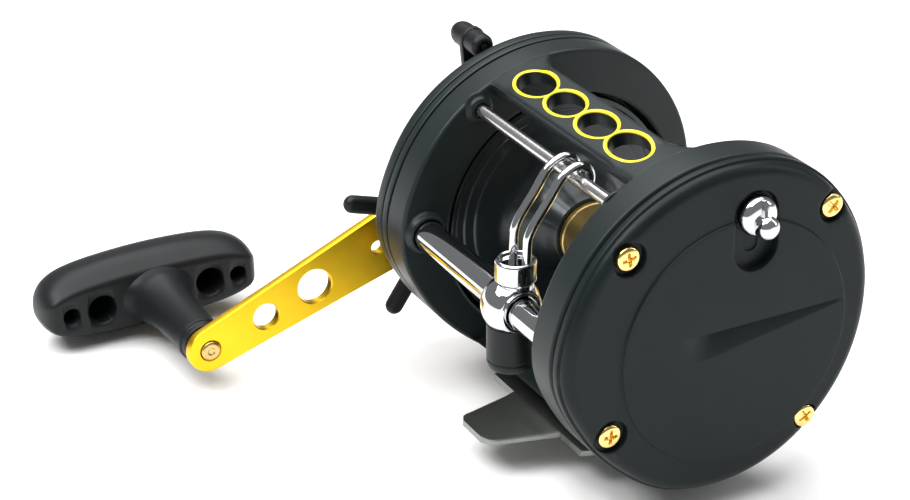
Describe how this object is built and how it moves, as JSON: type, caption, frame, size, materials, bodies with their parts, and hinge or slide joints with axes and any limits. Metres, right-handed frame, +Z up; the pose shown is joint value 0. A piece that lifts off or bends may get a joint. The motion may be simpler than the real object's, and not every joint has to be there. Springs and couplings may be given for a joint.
{
  "type": "trolling reel",
  "caption": "Conventional trolling reel: rounded side plates, dished spool, worm-driven line guide, star drag, clicker button, drilled handle arm and paddle grip.",
  "frame": {"origin": "middle of the reel foot underside, the face that sits on the rod seat", "axes": "+X along the spool towards the clicker side; -Y towards the rod tip, where the line leaves; +Z up; the handle is on the -X side"},
  "size_m": [0.1517, 0.1393, 0.0817],
  "materials": {
    "graphite": "satin moulded graphite composite",
    "spool_black": "black anodised aluminium",
    "black_plastic": "satin black nylon",
    "steel": "stainless steel",
    "chrome": "bright chrome plate",
    "gold": "gold anodised aluminium",
    "brass": "machined brass",
    "gold_screw": "bright gold plate",
    "fibre": "friction fibre and nylon"
  },
  "bodies": {
    "frame_body": {"frame": "graphite", "tail_plate": "graphite", "mechanism_plate": "black_plastic", "gear_cover": "graphite", "tail_screw_1": "gold_screw", "tail_screw_2": "gold_screw", "tail_screw_3": "gold_screw", "tail_screw_4": "gold_screw", "cover_screw_1": "steel", "cover_screw_2": "steel", "cover_screw_3": "steel", "cover_screw_4": "steel", "reel_foot": "steel", "foot_screw_1": "steel", "foot_screw_2": "steel", "foot_screw_3": "steel", "foot_screw_4": "steel", "top_rod": "steel", "level_wind_tube": "chrome", "tail_bearing": "steel", "gear_bearing": "steel"},
    "spool_body": {"spool": "spool_black", "spool_arbor": "brass", "spool_shaft": "steel", "click_gear": "brass"},
    "drive_body": {"drive_shaft": "steel", "main_gear": "brass", "drag_washer_inner": "fibre", "drag_plate": "steel", "drag_washer_outer": "fibre", "drag_sleeve": "steel", "anti_reverse_ratchet": "steel", "handle_arm": "gold", "handle_nut": "chrome", "grip_spindle": "gold_screw"},
    "star_body": {"star_drag": "black_plastic"},
    "grip_body": {"grip": "black_plastic"},
    "yoke_body": {"pinion_yoke": "steel", "yoke_spring_1": "steel", "yoke_spring_2": "steel"},
    "pinion_body": {"pinion": "brass"},
    "lever_body": {"free_spool_lever": "black_plastic"},
    "idler_body": {"idler_gear": "fibre"},
    "worm_body": {"worm_gear": "fibre", "worm_shaft": "steel"},
    "guide_body": {"guide_carriage": "chrome", "guide_wire_left": "chrome", "guide_wire_right": "chrome", "guide_pawl": "steel", "pawl_cap": "black_plastic"},
    "clicker_body": {"clicker_button": "chrome", "click_pawl_clip": "steel", "click_spring": "steel"},
    "click_pawl_body": {"click_pawl": "steel"},
    "dog_body": {"anti_reverse_dog": "steel", "dog_spring": "steel"}
  },
  "joints": [
    {"name": "handle_turn", "type": "hinge", "parent": "frame_body", "child": "drive_body", "pos_m": [-0.05, -0.01337, 0.02681], "axis": [1, 0, 0], "continuous": true},
    {"name": "spool_spin", "type": "hinge", "parent": "frame_body", "child": "spool_body", "pos_m": [0, 0.003, 0.033], "axis": [1, 0, 0], "continuous": true},
    {"name": "free_spool_swing", "type": "hinge", "parent": "frame_body", "child": "lever_body", "pos_m": [-0.048, -0.0052, 0.0505], "axis": [1, 0, 0], "range_deg": [0, 35]},
    {"name": "yoke_shift", "type": "slide", "parent": "frame_body", "child": "yoke_body", "axis": [-1, 0, 0], "range_m": [0, 0.0014], "deforming": ["yoke_spring_1", "yoke_spring_2"]},
    {"name": "pinion_spin", "type": "hinge", "parent": "yoke_body", "child": "pinion_body", "pos_m": [-0.042, 0.003, 0.033], "axis": [1, 0, 0], "continuous": true},
    {"name": "idler_spin", "type": "hinge", "parent": "frame_body", "child": "idler_body", "pos_m": [-0.0404, -0.02575, 0.04016], "axis": [1, 0, 0], "continuous": true},
    {"name": "worm_spin", "type": "hinge", "parent": "frame_body", "child": "worm_body", "pos_m": [0, -0.0321, 0.0358], "axis": [1, 0, 0], "continuous": true},
    {"name": "guide_travel", "type": "slide", "parent": "frame_body", "child": "guide_body", "axis": [1, 0, 0], "range_m": [-0.032, 0.0115]},
    {"name": "star_turn", "type": "hinge", "parent": "drive_body", "child": "star_body", "pos_m": [-0.0535, -0.01337, 0.02681], "axis": [1, 0, 0], "range_deg": [-180, 180]},
    {"name": "grip_spin", "type": "hinge", "parent": "drive_body", "child": "grip_body", "pos_m": [-0.07, -0.0736, 0.00345], "axis": [1, 0, 0], "continuous": true},
    {"name": "clicker_slide", "type": "slide", "parent": "frame_body", "child": "clicker_body", "axis": [0, 0, -1], "range_m": [0, 0.007]},
    {"name": "click_pawl_swing", "type": "hinge", "parent": "clicker_body", "child": "click_pawl_body", "pos_m": [0.0335, 0.0066, 0.0608], "axis": [1, 0, 0], "range_deg": [-12, 12], "stiffness_Nm_per_rad": 0.0005},
    {"name": "dog_swing", "type": "hinge", "parent": "frame_body", "child": "dog_body", "pos_m": [-0.0348, 0.0114, 0.0154], "axis": [-1, 0, 0], "range_deg": [0, 14], "stiffness_Nm_per_rad": 0.0008}
  ],
  "couplings": [
    {"joint": "spool_spin", "follows": "handle_turn", "ratio": -4},
    {"joint": "pinion_spin", "follows": "handle_turn", "ratio": -4},
    {"joint": "idler_spin", "follows": "handle_turn", "ratio": -3.3333},
    {"joint": "worm_spin", "follows": "handle_turn", "ratio": 4},
    {"joint": "yoke_shift", "follows": "free_spool_swing", "m_per_rad": 0.0022918}
  ]
}
